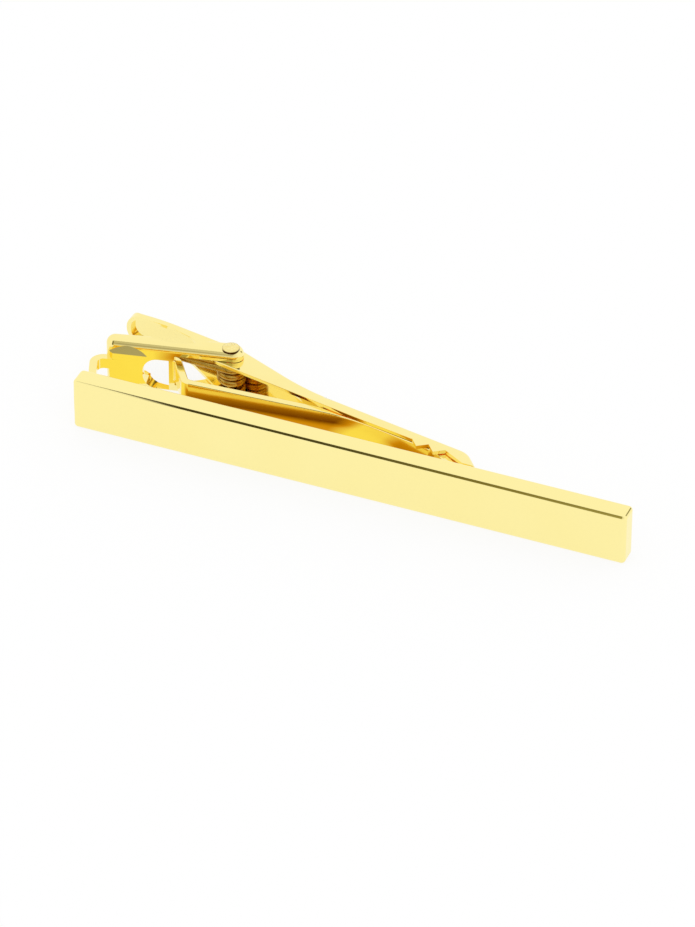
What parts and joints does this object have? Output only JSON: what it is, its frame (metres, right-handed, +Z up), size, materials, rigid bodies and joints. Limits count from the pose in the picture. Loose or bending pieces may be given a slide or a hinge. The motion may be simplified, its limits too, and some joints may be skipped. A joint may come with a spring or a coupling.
{
  "type": "tie clip",
  "caption": "Slim rectangular tie clip: polished gold-tone bar with a riveted, spring-closed toothed jaw on its back.",
  "frame": {"origin": "middle of the clip's footprint, at the level of the bar's lower edge", "axes": "+X along the bar from the thumb end to the plain end, +Y back from the bar to the jaw, +Z up"},
  "size_m": [0.0612, 0.0156, 0.0061],
  "materials": {
    "bar_plate": "polished pale-gold plate",
    "stamping_plate": "polished pale-gold plate",
    "rivet_plate": "gold plate, lightly hammered where the head was formed",
    "spring_wire": "drawn spring wire under gold plate",
    "solder": "flowed solder under gold plate"
  },
  "bodies": {
    "base": {"front_bar": "bar_plate", "clip_base": "stamping_plate", "pivot_rivet": "rivet_plate", "torsion_spring": "spring_wire", "foot_solder": "solder", "tongue_solder": "solder"},
    "jaw": {"jaw_lever": "stamping_plate"}
  },
  "joints": [
    {"name": "jaw_open", "type": "hinge", "parent": "base", "child": "jaw", "pos_m": [-0.01674, 0.00366, 0.0029], "axis": [0, 0, 1], "range_deg": [0, 26], "stiffness_Nm_per_rad": 0.03, "springref_deg": -68.75, "deforming": ["torsion_spring"]}
  ]
}
